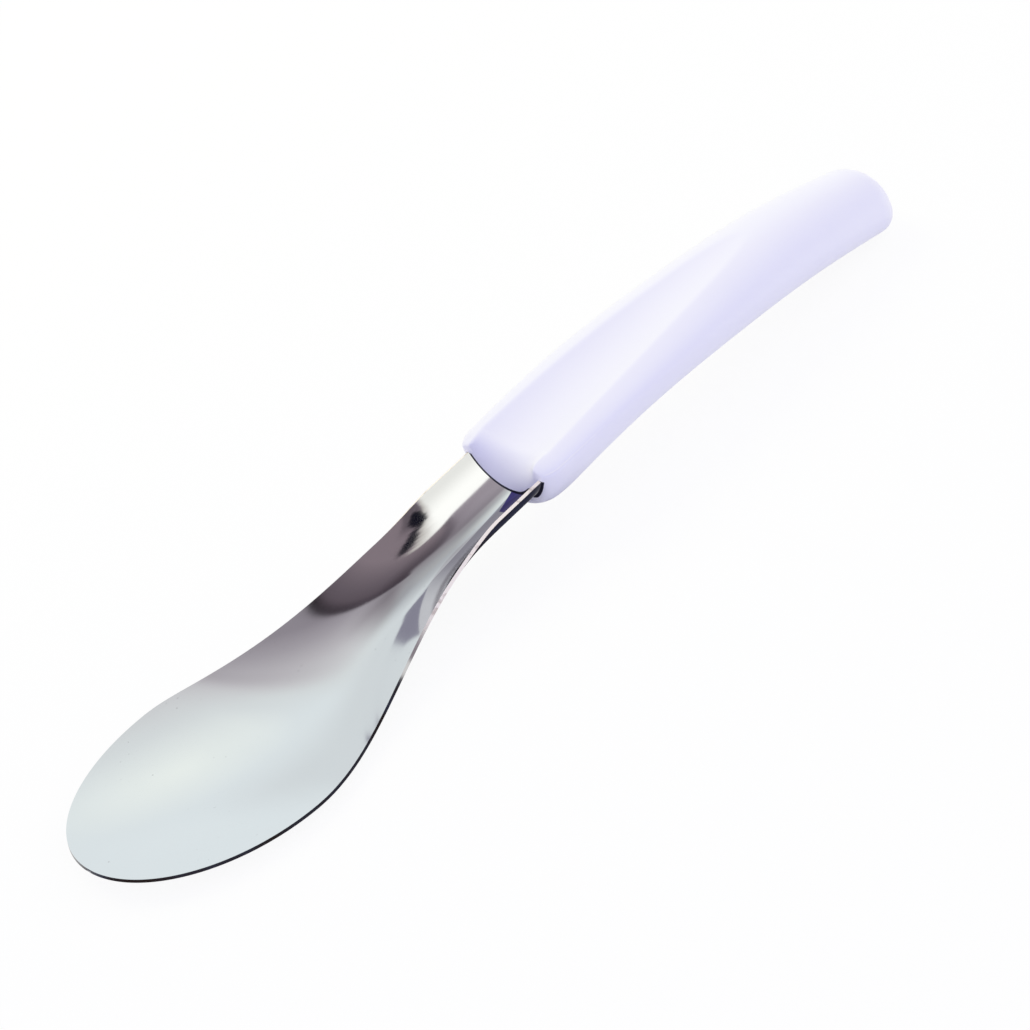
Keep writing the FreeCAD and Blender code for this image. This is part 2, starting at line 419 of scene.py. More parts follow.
@dataclass(frozen=True)
class CutEdge:
    """The sheet's cut edge: polished round the blade, brushed pale along the neck."""

    name: str = "cut_edge"
    polished_tint: Colour = (0.62, 0.61, 0.61)
    polished_roughness: float = 0.1
    brushed_tint: Colour = (0.99, 0.91, 0.80)
    brushed_roughness: float = 0.45
    brushed_fade: float = 12.0 * MM
    stain_tint: Colour = (0.36, 0.27, 0.23)
    stain_grain: float = 420.0
    stain_detail: float = 3.0
    stain_edge: Edge = (0.6, 0.12)
    stain_share: float = 0.55

    def material(self, brushed_from: float) -> bpy.types.Material:
        """Build the edge's finish.

        Args:
            brushed_from: Where along the sheet the pale brushed stretch starts.

        Returns:
            The finished material.
        """
        edge = bpy.data.materials.new(self.name)
        nodes = NodeTree(edge)
        place = nodes.place()
        along, _, _ = nodes.xyz(place)
        brushed = along.above(brushed_from, self.brushed_fade)
        stains = nodes.noise(place, self.stain_grain, self.stain_detail).above(*self.stain_edge)
        pale = nodes.mix(stains * self.stain_share, self.brushed_tint, self.stain_tint)
        rougher = self.brushed_roughness - self.polished_roughness
        nodes.surface(
            {},
            {
                "Base Color": nodes.mix(brushed, self.polished_tint, pale),
                "Metallic": 1.0 - brushed,
                "Roughness": brushed * rougher + self.polished_roughness,
            },
        )
        return edge


@dataclass(frozen=True)
class WhitePlastic:
    """White moulded plastic with a cool cast, a satin gloss and a painted shadow in the narrow gap
    round the steel.

    An edge is a distance or a share of noise, and the width that it fades over.
    """

    name: str = "white_plastic"
    tint: Colour = (0.90, 0.893, 0.975)
    cloud_tint: Colour = (0.88, 0.873, 0.965)
    cloud_grain: float = 45.0
    roughness: float = 0.34
    cloud_roughness: float = 0.05
    gap_shadow_roughness: float = 0.3
    refraction: float = 1.46
    gloss: float = 0.4
    grain: float = 2600.0
    grain_depth: float = 0.012 * MM
    # Painted shadow in the gap round the steel.
    painted_gap_shadow_tint: Colour = (0.012, 0.011, 0.03)
    far_gap: float = 0.8 * MM
    near_gap: float = 1.4 * MM
    outer_gap: float = 0.85 * MM
    inner_fade: float = 0.2 * MM
    outer_fade: float = 0.12 * MM
    near_side_edge: Edge = (5.0 * MM, 5.0 * MM)
    near_lip_edge: Edge = (8.0 * MM, 3.5 * MM)
    lip_gap: float = 0.1 * MM
    lip_fade: float = 0.3 * MM
    gap_shadow_depth: float = 0.9 * MM
    gap_shadow_fade: float = 0.4 * MM
    parting_tint: Colour = (0.985, 0.975, 1.0)
    parting_share: float = 0.8
    parting_grains: float = 4.0
    parting_height: float = 18.2 * MM
    parting_climb: float = 0.075
    parting_width: float = 0.22 * MM
    parting_length: float = 26.0 * MM
    parting_end: float = 15.6 * MM
    parting_outside: Edge = (13.4 * MM, 0.8 * MM)

    def material(self, sheet: "PressedSheet") -> bpy.types.Material:
        """Build the plastic.

        Args:
            sheet: The steel that the painted gap shadow follows.

        Returns:
            The finished material.
        """
        plastic = bpy.data.materials.new(self.name)
        nodes = NodeTree(plastic)
        place = nodes.place()
        clouds = nodes.noise(place, self.cloud_grain)
        grain = nodes.noise(place, self.grain, 1.0)
        painted_gap_shadow = self.painted_gap_shadow(nodes, place, sheet)
        parting = self.parting(nodes, place, sheet)
        colour = nodes.mix(clouds, self.tint, self.cloud_tint)
        colour = nodes.mix(parting * self.parting_share, colour, self.parting_tint)
        # Painted shadow in the narrow gap between the mouth and the steel.
        colour = nodes.mix(painted_gap_shadow, colour, self.painted_gap_shadow_tint)
        roughness = self.roughness + clouds * self.cloud_roughness + painted_gap_shadow * self.gap_shadow_roughness
        height = grain + parting * self.parting_grains
        nodes.surface(
            {"Subsurface Weight": 0.0, "IOR": self.refraction, "Specular IOR Level": self.gloss},
            {
                "Base Color": colour,
                "Roughness": roughness,
                "Normal": nodes.bump(height, self.grain_depth),
            },
        )
        return plastic

    def parting(
        self, nodes: NodeTree, place: bpy.types.NodeSocket, sheet: "PressedSheet"
    ) -> Value:
        """The fine line that the mould's two halves leave next to the mouth.

        Args:
            nodes: The plastic's tree.
            place: The place on the grip.
            sheet: The steel, which says where the mouth stands.

        Returns:
            The line's mask.
        """
        along, across, up = nodes.xyz(place)
        past = along - (sheet.neck_end - sheet.shift)
        height = past * self.parting_climb + self.parting_height
        line = abs(up - height).below(self.parting_width / 2, self.parting_width / 2)
        outside = abs(across).above(*self.parting_outside)
        return line * outside * past.below(self.parting_end, self.parting_length)

    def painted_gap_shadow(self, nodes: NodeTree, place: bpy.types.NodeSocket, sheet: "PressedSheet") -> Value:
        """Painted shadow in the narrow gap between the mouth and the steel.

        Args:
            nodes: The plastic's tree.
            place: The place on the grip.
            sheet: The steel that the gap follows.

        Returns:
            The gap's mask.
        """
        # Painted shadow, wider on the near side and reaching outside the near lip.
        along, across, up = nodes.xyz(place)
        mouth = sheet.neck_end - sheet.shift
        radius = sheet.arc_radius(sheet.neck_end)
        centre = sheet.keel(sheet.neck_end) + radius
        reach = (across * across + (up - centre) * (up - centre)) ** 0.5
        near_side = (-across).above(*self.near_side_edge)
        near_lip = (-across).above(*self.near_lip_edge)
        gap = near_side * (self.near_gap - self.far_gap) + self.far_gap
        inner = (radius - reach).below(gap * (1.0 - near_lip), self.inner_fade)
        outside = reach - radius - sheet.thickness
        outer = outside.below(near_lip * self.outer_gap, self.outer_fade)
        under = up.below(sheet.lip_height(sheet.neck_end) - self.lip_gap, self.lip_fade)
        return outer * inner * under * along.below(mouth + self.gap_shadow_depth, self.gap_shadow_fade)


@dataclass
class PressedSheet:
    """The blade: one pressed sheet with a dished nose, a channelled neck and a hidden tang."""

    overall: float = 260.6 * MM
    thickness: float = 0.8 * MM
    nose_length: float = 40.6 * MM
    half_width: float = 29.5 * MM
    neck_half_width: float = 11.5 * MM
    shoulder_end: float = 118.5 * MM
    shoulder_front_pull: float = 16.2 * MM
    shoulder_back_pull: float = 35.4 * MM
    neck_end: float = 131.9 * MM
    belly_place: float = 47.0 * MM
    tip_rise: float = 4.6 * MM
    dish_radius: float = 175.0 * MM
    neck_wall_angle: float = 67.0
    fan_start: float = 46.0 * MM
    bend_start: float = 50.0 * MM
    bend_end: float = 101.0 * MM
    bend_lift: float = 3.1 * MM
    neck_slope: float = 0.0625
    tang_half_width: float = 8.0 * MM
    tang_length: float = 78.0 * MM
    tang_entry: float = 2.5 * MM
    tang_shoulder: float = 8.0 * MM
    edge_round: float = 0.27 * MM
    brushed_from: float = 88.0 * MM
    station_spacing: float = 0.9
    nose_stations: float = 0.3
    stations: int = 250
    strands: int = 84
    outline_steps: int = 120
    tang_end_steps: int = 16
    edge_steps: int = 3
    rounded_above: float = 55.0
    end_gap: float = 0.01 * MM
    name: str = "blade_sheet"
    outline: list[tuple[float, float]] = field(default_factory=list)

    def __post_init__(self) -> None:
        """Work out the outline, whose tip lies at the start of the length."""
        self.shift = self.overall / 2
        self.outline = self.outline_points()

    def outline_points(self) -> list[tuple[float, float]]:
        """The blank's half outline, from the tip to the tang's end.

        Returns:
            Places along and half widths, in metres.
        """
        quarter = 0.5523
        wide = self.half_width
        neck = self.neck_half_width
        nose = [
            (0.0, 0.0),
            (0.0, wide * quarter),
            (self.nose_length * (1 - quarter), wide),
            (self.nose_length, wide),
        ]
        shoulder = [
            (self.nose_length, wide),
            (self.nose_length + self.shoulder_front_pull, wide),
            (self.shoulder_end - self.shoulder_back_pull, neck),
            (self.shoulder_end, neck),
        ]
        points = self.curve(nose, self.outline_steps)[:-1]
        points += self.curve(shoulder, self.outline_steps)
        entry = self.neck_end + self.tang_entry
        end = self.neck_end + self.tang_length
        points += [(entry, neck), (entry + self.tang_shoulder, self.tang_half_width)]
        round_start = end - self.tang_half_width
        for step in range(self.tang_end_steps + 1):
            angle = math.pi / 2 * step / self.tang_end_steps
            reach = self.tang_half_width * math.sin(angle)
            points.append((round_start + reach, self.tang_half_width * math.cos(angle)))
        return points

    @staticmethod
    def curve(
        poles: list[tuple[float, float]], steps: int
    ) -> list[tuple[float, float]]:
        """Points along the smooth curve of four poles.

        Args:
            poles: The curve's four poles.
            steps: How many steps along it.

        Returns:
            The points.
        """
        points = []
        for step in range(steps + 1):
            t = step / steps
            weights = ((1 - t) ** 3, 3 * (1 - t) ** 2 * t, 3 * (1 - t) * t * t, t**3)
            along = sum(weight * pole[0] for weight, pole in zip(weights, poles))
            across = sum(weight * pole[1] for weight, pole in zip(weights, poles))
            points.append((along, across))
        return points

    def half_width_at(self, place: float) -> float:
        """Half the sheet's width.

        Args:
            place: The distance from the tip.

        Returns:
            The half width there.
        """
        for before, after in zip(self.outline, self.outline[1:]):
            if before[0] <= place <= after[0] and after[0] > before[0]:
                share = (place - before[0]) / (after[0] - before[0])
                return before[1] + (after[1] - before[1]) * share
        return self.outline[-1][1]

    def arc_radius(self, place: float) -> float:
        """Radius of the arc across the sheet.

        Args:
            place: The distance from the tip.

        Returns:
            The radius there, which shrinks evenly in proportion from the dish to the channel.
        """
        neck_radius = self.neck_half_width / math.sin(math.radians(self.neck_wall_angle))
        share = eased(place, self.fan_start, self.shoulder_end)
        return self.dish_radius * (neck_radius / self.dish_radius) ** share

    def keel(self, place: float) -> float:
        """Height of the upper face's middle line.

        Args:
            place: The distance from the tip.

        Returns:
            The height there.
        """
        nose = self.tip_rise * max(0.0, 1 - place / self.belly_place) ** 2
        climb = self.bend_lift + self.neck_slope * (place - self.bend_start)
        return self.thickness + nose + climb * eased(place, self.bend_start, self.bend_end)

    def height(self, place: float, across: float) -> float:
        """Height of the upper face at a place and a distance from the middle."""
        radius = self.arc_radius(place)
        return self.keel(place) + radius - math.sqrt(max(0.0, radius * radius - across * across))

    def lip_height(self, place: float) -> float:
        """Height of the upper face's edge at a place."""
        return self.height(place, self.half_width_at(place))

    def places(self) -> list[float]:
        """The stations along the sheet, close together round the nose and the tang's end.

        Returns:
            Their distances from the tip.
        """
        end = self.neck_end + self.tang_length
        places = []
        for step in range(self.stations + 1):
            share = step / self.stations
            if share < self.nose_stations:
                angle = math.pi / 2 * share / self.nose_stations
                place = self.nose_length * (1 - math.cos(angle))
            else:
                rest = (share - self.nose_stations) / (1 - self.nose_stations)
                angle = math.pi / 2 * rest**self.station_spacing
                place = self.nose_length + (end - self.nose_length) * math.sin(angle)
            places.append(min(max(place, self.end_gap), end - self.end_gap))
        return places

    def build(self) -> bpy.types.Object:
        """Shape a grid into the pressed upper face, give it its thickness and round its edges.

        Returns:
            The sheet, with two empty material slots for its faces and its cut edge.
        """
        places = self.places()

        def shape(row: int, strand: int) -> Vector:
            """Place one corner of the upper face.

            Args:
                row: Its station.
                strand: Its strand, from the near edge to the far one.

            Returns:
                Its place.
            """
            place = places[row]
            spread = strand / self.strands * 2 - 1
            reach = self.arc_radius(place)
            half = self.half_width_at(place)
            across = reach * math.sin(spread * math.asin(min(1.0, half / reach)))
            return Vector((place - self.shift, across, self.height(place, across)))

        sheet = shaped_grid(self.name, self.stations, self.strands, shape)
        sheet.data.materials.append(None)
        sheet.data.materials.append(None)
        thicken = sheet.modifiers.new("thickness", "SOLIDIFY")
        thicken.material_offset_rim = 1
        thicken.thickness = self.thickness
        thicken.offset = -1.0
        thicken.use_even_offset = True
        rounding = sheet.modifiers.new("edge", "BEVEL")
        rounding.width = self.edge_round
        rounding.segments = self.edge_steps
        rounding.limit_method = "ANGLE"
        rounding.angle_limit = math.radians(self.rounded_above)
        rounding.harden_normals = True
        rounding.material = 0
        apply_modifiers(sheet)
        return sheet

    def dress(self, sheet: bpy.types.Object, finish: PolishedSteel, edge: CutEdge) -> None:
        """Give the sheet its steel, its edge and its place in the frame.

        Args:
            sheet: The built sheet.
            finish: The steel of its faces.
            edge: The finish of its cut edge.
        """
        sheet.data.materials[0] = finish.material(self.neck_end - self.shift)
        sheet.data.materials[1] = edge.material(self.brushed_from - self.shift)
        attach(sheet, "root")
        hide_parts("blade")


@dataclass
class Grip:
    """The handle: an arched moulding with a thumb hollow whose brow rolls down to the steel.

    The guides are given in millimetres, at five even stations from the mouth to the butt.
    """

    overall: float = 260.6 * MM
    neck_end: float = 131.9 * MM
    length: float = 128.7 * MM
    dome_length: float = 7.5 * MM
    mouth_rounding: float = 4.5 * MM
    side_inset: float = 2.6 * MM
    top_inset: float = 1.0 * MM
    chin_length: float = 10.5 * MM
    chin_inset: float = 4.0 * MM
    brow_length: float = 5.2 * MM
    brow_half_width: float = 10.5 * MM
    brow_rim_height: float = 21.8 * MM
    mouth_floor: float = 9.32 * MM
    hollow_radius: float = 25.3 * MM
    hollow_arch_radius: float = 858.0 * MM
    hollow_crest_place: float = 109.2 * MM
    hollow_crest_height: float = 24.4 * MM
    rim_rounding: float = 0.9 * MM
    rim_share: float = 0.6
    least_rim: float = 0.9 * MM
    least_shoulder: float = 0.25
    parting_spread: float = 20.0
    weld: float = 0.004 * MM
    name: str = "handle_grip"
    shoulder_strands: int = 12
    corner_strands: int = 8
    hollow_strands: int = 34
    face_rows: int = 6
    mouth_rows: int = 26
    body_rows: int = 120
    dome_rows: int = 16
    sizes: dict[Guide, tuple[float, ...]] = field(
        default_factory=lambda: {
            Guide.HALF_WIDTH: (15.2, 15.7, 14.8, 12.8, 9.9),
            Guide.TOP: (21.0, 23.5, 24.6, 23.0, 16.3),
            Guide.LEVEL: (17.4, 19.5, 17.8, 13.6, 5.9),
            Guide.UNDERSIDE: (3.7, 7.8, 7.5, 4.5, -1.4),
        }
    )

    def guide(self, kind: Guide, place: float) -> float:
        """A size of the grip at a place: the natural cubic curve through its five stations.

        Args:
            kind: Which size.
            place: The distance from the mouth.

        Returns:
            The size in metres.
        """
        values = self.sizes[kind]
        spans = len(values) - 1
        bends = self.bends(values)
        share = max(0.0, min(1.0, place / self.length)) * spans
        index = min(int(share), spans - 1)
        after = share - index
        before = 1 - after
        straight = before * values[index] + after * values[index + 1]
        curl = (before**3 - before) * bends[index] + (after**3 - after) * bends[index + 1]
        return (straight + curl / 6) * MM

    @staticmethod
    def bends(values: tuple[float, ...]) -> list[float]:
        """Second differences of the natural cubic curve through evenly spaced values.

        Args:
            values: The values.

        Returns:
            The curve's second difference at each of them.
        """
        count = len(values)
        bends = [0.0] * count
        enough_rounds = 60
        for _ in range(enough_rounds):
            for index in range(1, count - 1):
                turn = 6 * (values[index - 1] - 2 * values[index] + values[index + 1])
                bends[index] = (turn - bends[index - 1] - bends[index + 1]) / 4
        return bends

    @staticmethod
    def inset(place: float, length: float, depth: float) -> float:
        """How far a face is drawn in at a place by the round that starts at the mouth."""
        left = max(0.0, 1 - place / length)
        return depth * (1 - math.sqrt(1 - left * left))

    def floor_height(self, place: float) -> float:
        """Height of the hollow's floor, without the brow.

        Args:
            place: The distance from the mouth.

        Returns:
            The height there, on a long arc over the crest.
        """
        along = place - self.hollow_crest_place
        drop = self.hollow_arch_radius - math.sqrt(self.hollow_arch_radius**2 - along * along)
        return self.hollow_crest_height - drop

    def ring(self, place: float) -> tuple[float, float]:
        """The ring that cuts the hollow at a place.

        Args:
            place: The distance from the mouth.

        Returns:
            Its radius and the height of its lowest point.
        """
        floor = self.floor_height(place)
        if place >= self.brow_length:
            return self.hollow_radius, floor
        share = place / self.brow_length
        roll = self.inset(place, self.brow_length, 1.0)
        last_depth = self.brow_rim_height - self.floor_height(self.brow_length)
        last_half = math.sqrt(2 * self.hollow_radius * last_depth - last_depth**2)
        floor += (self.mouth_floor - floor) * roll
        half = self.brow_half_width + (last_half - self.brow_half_width) * share
        depth = self.brow_rim_height - floor
        return (depth**2 + half**2) / (2 * depth), floor

    def section(self, place: float) -> list[tuple[float, float]]:
        """The closed section at a place, from the far parting line over the top and back below.

        Args:
            place: The distance from the mouth.

        Returns:
            Distances across and heights, one for each strand.
        """
        level = self.guide(Guide.LEVEL, place)
        side = self.inset(place, self.mouth_rounding, self.side_inset)
        half = self.guide(Guide.HALF_WIDTH, place) - side
        crown = self.inset(place, self.mouth_rounding, self.top_inset)
        top = self.guide(Guide.TOP, place) - crown
        chin = self.inset(place, self.chin_length, self.chin_inset)
        low = self.guide(Guide.UNDERSIDE, place) + chin
        radius, floor = self.ring(place)

        def oval(across: float) -> float:
            """Height of the grip's rounded top at a distance across."""
            return level + (top - level) * math.sqrt(max(0.0, 1 - (across / half) ** 2))

        def wall(angle: float) -> tuple[float, float]:
            """The hollow's surface, or the grip's top where no hollow is cut.

            Args:
                angle: The angle up the ring from its lowest point.

            Returns:
                The distance across and the height.
            """
            across = radius * math.sin(angle)
            height = floor + radius * (1 - math.cos(angle))
            return across, min(height, oval(across)) if abs(angle) < math.pi / 2 else height

        rim_angle = self.rim_angle(oval, radius, floor)
        rim = wall(rim_angle)
        reach = min(self.rim_rounding, self.rim_share * rim[0])
        oval_angle = math.acos(min(1.0, rim[0] / half))
        corner_angle = max(self.least_shoulder * oval_angle, oval_angle - reach / half)
        shoulder = []
        for step in range(self.shoulder_strands):
            angle = corner_angle * math.sin(math.pi / 2 * step / self.shoulder_strands)
            shoulder.append(self.oval_point(half, level, top, angle))
        start = self.oval_point(half, level, top, corner_angle)
        wall_angle = rim_angle - reach / radius
        poles = (start, rim, wall(wall_angle))
        corner = []
        for step in range(self.corner_strands):
            share = step / self.corner_strands
            weights = ((1 - share) ** 2, 2 * share * (1 - share), share * share)
            across = sum(weight * pole[0] for weight, pole in zip(weights, poles))
            height = sum(weight * pole[1] for weight, pole in zip(weights, poles))
            corner.append((across, height))
        far_side = shoulder + corner
        across_floor = [
            wall(wall_angle * (1 - 2 * step / self.hollow_strands))
            for step in range(self.hollow_strands + 1)
        ]
        near_side = [(-across, height) for across, height in reversed(far_side)]
        points = far_side + across_floor + near_side
        points += self.underside(half, level, low)
        return points

    def rim_angle(self, oval: Callable[[float], float], radius: float, floor: float) -> float:
        """The angle up the ring at which it leaves the grip's top.

        Args:
            oval: Height of the top at a distance across.
            radius: The ring's radius.
            floor: The height of its lowest point.

        Returns:
            The angle in radians, never less than the least half width of the strands asks.
        """
        inner = math.asin(self.least_rim / radius)
        outer = 0.7 * math.pi
        steps = 400
        halvings = 30

        def buried(angle: float) -> bool:
            """Whether the ring lies below the grip's top at an angle."""
            return floor + radius * (1 - math.cos(angle)) < oval(radius * math.sin(angle))

        if not buried(inner):
            return inner
        edge = steps
        for step in range(1, steps):
            if not buried(inner + (outer - inner) * step / steps):
                edge = step
                break
        low = inner + (outer - inner) * (edge - 1) / steps
        high = inner + (outer - inner) * edge / steps
        for _ in range(halvings):
            middle = (low + high) / 2
            if buried(middle):
                low = middle
            else:
                high = middle
        return low

    @staticmethod
    def oval_point(
        half: float, level: float, top: float, angle: float
    ) -> tuple[float, float]:
        """A point of the section's upper oval, at an angle above the far parting line."""
        return half * math.cos(angle), level + (top - level) * math.sin(angle)

    def underside(self, half: float, level: float, low: float) -> list[tuple[float, float]]:
        """The strands below the parting line, one under each strand of the top.

        Args:
            half: The section's half width.
            level: The parting line's height.
            low: The underside's height.

        Returns:
            Distances across and heights, from the near side to the far parting line.
        """
        edge = self.shoulder_strands + self.corner_strands
        spread = math.radians(self.parting_spread)
        angles = [spread * step / edge for step in range(1, edge)]
        angles += [
            spread + (math.pi - 2 * spread) * step / self.hollow_strands
            for step in range(self.hollow_strands + 1)
        ]
        angles += [math.pi - spread * step / edge for step in range(edge - 1, -1, -1)]
        depth = level - low
        return [(-half * math.cos(angle), level - depth * math.sin(angle)) for angle in angles]

    def middle(self, place: float) -> float:
        """The height half way between the grip's top and its underside."""
        return (self.guide(Guide.TOP, place) + self.guide(Guide.UNDERSIDE, place)) / 2

    def rows(self) -> list[tuple[float, float]]:
        """The rows of the skin behind its face.

        Returns:
            The distance from the mouth and the scale about the grip's middle, for each.
        """
        rows = []
        for step in range(self.mouth_rows):
            angle = math.pi / 2 * step / self.mouth_rows
            rows.append((self.chin_length * (1 - math.cos(angle)), 1.0))
        dome_start = self.length - self.dome_length
        for step in range(self.body_rows):
            share = step / self.body_rows
            rows.append((self.chin_length + (dome_start - self.chin_length) * share, 1.0))
        for step in range(self.dome_rows + 1):
            angle = math.pi / 2 * step / self.dome_rows
            rows.append((dome_start + self.dome_length * math.sin(angle), math.cos(angle)))
        return rows

    def build(self) -> bpy.types.Object:
        """Shape a grid into the closed skin of the grip, with a face across its mouth.

        Returns:
            The grip.
        """
        rows = self.rows()
        sections = [self.section(place) for place, _ in rows]
        strands = len(sections[0]) - 1
        face = sections[0]

        def shape(row: int, strand: int) -> Vector:
            """Place one corner of the skin. The first rows close the mouth.

            Args:
                row: Its row, from the mouth's middle line to the butt.
                strand: Its strand round the section.

            Returns:
                Its place.
            """
            if row < self.face_rows:
                share = (1 + row / self.face_rows) / 2
                own, other = face[strand], face[strands - strand]
                across = own[0] * share + other[0] * (1 - share)
                up = own[1] * share + other[1] * (1 - share)
                return Vector((self.neck_end - self.overall / 2, across, up))
            place, scale = rows[row - self.face_rows]
            centre = self.middle(place)
            across, up = sections[row - self.face_rows][strand]
            along = self.neck_end + place - self.overall / 2
            return Vector((along, across * scale, centre + (up - centre) * scale))

        grip = shaped_grid(self.name, self.face_rows + len(rows) - 1, strands, shape)
        bpy.ops.object.mode_set(mode="EDIT")
        bpy.ops.mesh.select_all(action="SELECT")
        bpy.ops.mesh.remove_doubles(threshold=self.weld)
        bpy.ops.mesh.normals_make_consistent(inside=False)
        bpy.ops.object.mode_set(mode="OBJECT")
        return grip

    def dress(self, grip: bpy.types.Object, finish: WhitePlastic, sheet: PressedSheet) -> None:
        """Give the grip its plastic and its place in the frame.

        Args:
            grip: The built grip.
            finish: Its plastic.
            sheet: The steel that the plastic's painted gap shadow follows.
        """
        grip.data.materials.clear()
        grip.data.materials.append(finish.material(sheet))
        grip.visible_glossy = False
        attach(grip, "root")
        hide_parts("handle")


def shaped_grid(
    name: str, rows: int, strands: int, shape: Callable[[int, int], Vector]
) -> bpy.types.Object:
    """Add a grid and put each of its corners at its shaped place.

    Args:
        name: The new piece's name.
        rows: Steps along the first direction.
        strands: Steps along the second direction.
        shape: Gives the place of the corner in a row and a strand.

    Returns:
        The shaped piece, smooth shaded.
    """
    bpy.ops.object.select_all(action="DESELECT")
    bpy.ops.mesh.primitive_grid_add(x_subdivisions=rows, y_subdivisions=strands, size=1.0)
    piece = bpy.context.object
    piece.name = name
    piece.data.name = name
    for corner in piece.data.vertices:
        row = round((corner.co.x + 0.5) * rows)
        strand = round((corner.co.y + 0.5) * strands)
        corner.co = shape(row, strand)
    bpy.ops.object.shade_smooth()
    return piece


def apply_modifiers(piece: bpy.types.Object) -> None:
    """Make a piece's modifiers part of its mesh.

    Args:
        piece: The piece.
    """
    bpy.context.view_layer.objects.active = piece
    for modifier in list(piece.modifiers):
        bpy.ops.object.modifier_apply(modifier=modifier.name)


@dataclass(frozen=True)
class MirroredFloorShadow:
    """Painted shadow: a dark patch on the floor under the steel, which only the steel mirrors."""

    centre_along: float = -0.068
    centre_across: float = -0.025
    half_length: float = 0.085
    half_width: float = 0.042
    squareness: float = 4.0
    edge: Edge = (1.0, 0.25)
    patch_grain: float = 55.0
    patch_detail: float = 3.0
    patch_edge: Edge = (0.5, 0.3)
    warm_shadow_tint: Colour = (0.030, 0.022, 0.022)
    cool_shadow_tint: Colour = (0.045, 0.050, 0.085)

    def colour(self, nodes: NodeTree, place: bpy.types.NodeSocket) -> bpy.types.NodeSocket:
        """The floor as the steel mirrors it.

        Args:
            nodes: The floor's tree.
            place: The place on the floor.

        Returns:
            White, and the painted shadow's dark patches inside its outline.
        """
        along, across, _ = nodes.xyz(place)
        away = (abs(along - self.centre_along) / self.half_length) ** self.squareness
        aside = (abs(across - self.centre_across) / self.half_width) ** self.squareness
        inside = ((away + aside) ** (1 / self.squareness)).below(*self.edge)
        patches = nodes.noise(place, self.patch_grain, self.patch_detail).above(*self.patch_edge)
        dark = nodes.mix(patches, self.warm_shadow_tint, self.cool_shadow_tint)
        return nodes.mix(inside, WHITE, dark)


@dataclass(frozen=True)
class Wall:
    """The pale wall that the blade mirrors, with a glow, a duller far part and a grey-blue card.

    Places are on the chart of the sky, u to the east and v to the north. An edge is a
    place and the width that it fades over.
    """

    shades: Stops = (
        (0.0, (0.29, 0.265, 0.30)),
        (0.18, (0.39, 0.365, 0.40)),
        (0.35, (0.52, 0.50, 0.53)),
        (0.48, (0.63, 0.63, 0.65)),
        (0.60, (0.72, 0.76, 0.77)),
        (0.76, (0.77, 0.83, 0.85)),
        (1.0, (0.785, 0.85, 0.875)),
    )
    foot: float = 0.2
    rise: float = 0.6
    lean: float = 0.6
    right_edge: Edge = (0.12, 0.06)
    right_lift: float = 0.12
    left_edge: Edge = (0.1, 0.04)
    left_lift: float = 0.06
    glow_u: float = 0.25
    glow_v: float = 0.39
    glow_radius: float = 0.085
    glow_share: float = 0.8
    glow_tint: Colour = (0.93, 0.98, 0.93)
    far_edge: Edge = (0.5, 0.1)
    far_end: Edge = (0.27, 0.05)
    far_share: float = 0.7
    far_tint: Colour = (0.66, 0.70, 0.72)
    card_left: Edge = (0.117, 0.006)
    card_lean: float = 0.16
    card_bend: float = 0.75
    card_right: Edge = (0.265, 0.02)
    card_foot: Edge = (0.6, 0.012)
    card_step: Edge = (0.145, 0.012)
    card_step_height: float = 0.032
    card_foot_rise: float = 0.93
    card_foot_top: float = 0.67
    card_tint: Colour = (0.25, 0.245, 0.31)

    def colour(self, nodes: NodeTree, u: Value, v: Value) -> bpy.types.NodeSocket:
        """The wall's colour on the chart.

        Args:
            nodes: The world's tree.
            u: The place to the east.
            v: The place to the north.

        Returns:
            The colour there.
        """
        lift = u.above(*self.right_edge) * self.right_lift
        lift += u.below(*self.left_edge) * self.left_lift
        slope = ((v - self.foot) + u * self.lean + lift) / self.rise
        wall = nodes.ramp(slope.clamp(), self.shades)
        du = (u - self.glow_u) / self.glow_radius
        dv = (v - self.glow_v) / self.glow_radius
        glow = (1.0 - (du * du + dv * dv) ** 0.5).clamp()
        wall = nodes.mix(glow * self.glow_share, wall, self.glow_tint)
        far = v.above(*self.far_edge) * u.below(*self.far_end)
        wall = nodes.mix(far * self.far_share, wall, self.far_tint)
        return nodes.mix(self.card(u, v), wall, self.card_tint)

    def card(self, u: Value, v: Value) -> Value:
        """The grey-blue card that stands high up on the wall.

        Args:
            u: The place to the east.
            v: The place to the north.

        Returns:
            The card's mask.
        """
        left, left_fade = self.card_left
        foot, foot_fade = self.card_foot
        turn, _ = self.card_step
        side = (v - self.card_bend).at_least(0.0) * self.card_lean + left
        climb = (u - turn).at_least(0.0) * self.card_foot_rise + foot
        edge = u.below(*self.card_step) * self.card_step_height + climb.at_most(self.card_foot_top)
        return v.above(edge, foot_fade) * u.above(side, left_fade) * u.below(*self.card_right)


